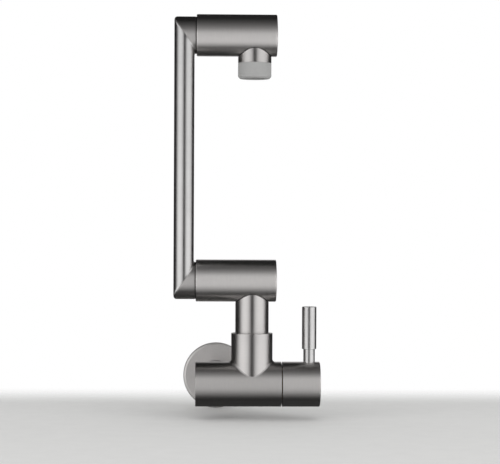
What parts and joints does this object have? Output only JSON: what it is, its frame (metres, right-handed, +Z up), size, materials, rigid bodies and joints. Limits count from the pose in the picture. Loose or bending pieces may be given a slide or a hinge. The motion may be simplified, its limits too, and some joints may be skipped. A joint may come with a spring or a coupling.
{
  "type": "wall-mounted folding kitchen faucet",
  "caption": "Wall-mounted folding faucet: quarter-turn valve body, swivelling neck, flat oval arm between two turning joint drums, and a short outlet with a knurled aerator.",
  "frame": {"origin": "on the inlet thread's axis, at the wall's face, which is the back rim of the wall plate", "axes": "+X to the right, from the body towards the handle; +Y into the wall along the inlet thread; +Z up along the arm at rest"},
  "size_m": [0.1282, 0.1275, 0.3512],
  "materials": {
    "brushed_steel": "dark satin steel, brushed round each turned piece and along the arm",
    "knurled_ring": "pale matte grey with a fine straight knurl",
    "brass": "turned brass",
    "ceramic": "lapped white ceramic",
    "rubber": "matte black rubber",
    "black_plastic": "dark acetal",
    "grey_plastic": "grey acetal"
  },
  "bodies": {
    "base": {"valve_body": "brushed_steel", "inlet_nipple": "brushed_steel", "inlet_washer": "rubber", "wall_plate": "brushed_steel", "cartridge_body": "brass", "cartridge_oring": "rubber", "seat_seal": "rubber", "fixed_disc": "ceramic", "neck_washer": "black_plastic", "neck_screw": "brushed_steel"},
    "handle": {"handle_drum": "brushed_steel", "lever": "brushed_steel", "spindle": "brass", "spindle_orings": "rubber", "slip_washer": "grey_plastic", "spindle_clip": "brushed_steel", "moving_disc": "ceramic"},
    "neck": {"swivel_neck": "brushed_steel", "neck_orings": "rubber", "lower_drum": "brushed_steel", "lower_front_bush": "black_plastic", "lower_rear_bush": "black_plastic", "lower_cap": "brushed_steel", "lower_cap_oring": "rubber"},
    "arm": {"arm_tube": "brushed_steel", "lower_elbow": "brushed_steel", "lower_shaft_orings": "rubber", "lower_clip": "brushed_steel", "upper_elbow": "brushed_steel", "upper_shaft_orings": "rubber", "upper_clip": "brushed_steel"},
    "head": {"upper_drum": "brushed_steel", "upper_front_bush": "black_plastic", "upper_rear_bush": "black_plastic", "upper_cap": "brushed_steel", "upper_cap_oring": "rubber", "outlet_neck": "brushed_steel", "aerator_ring": "knurled_ring", "aerator_washer": "rubber", "aerator_insert": "grey_plastic", "aerator_screen": "black_plastic"}
  },
  "joints": [
    {"name": "handle_turn", "type": "hinge", "parent": "base", "child": "handle", "pos_m": [0.0733, -0.09, 0], "axis": [1, 0, 0], "range_deg": [0, 90]},
    {"name": "neck_swivel", "type": "hinge", "parent": "base", "child": "neck", "pos_m": [0.0305, -0.09, 0.045], "axis": [0, 0, 1], "continuous": true},
    {"name": "lower_fold", "type": "hinge", "parent": "neck", "child": "arm", "pos_m": [0.0305, -0.09, 0.09], "axis": [1, 0, 0], "range_deg": [-120, 120]},
    {"name": "upper_fold", "type": "hinge", "parent": "arm", "child": "head", "pos_m": [0.0305, -0.09, 0.303], "axis": [1, 0, 0], "continuous": true}
  ]
}
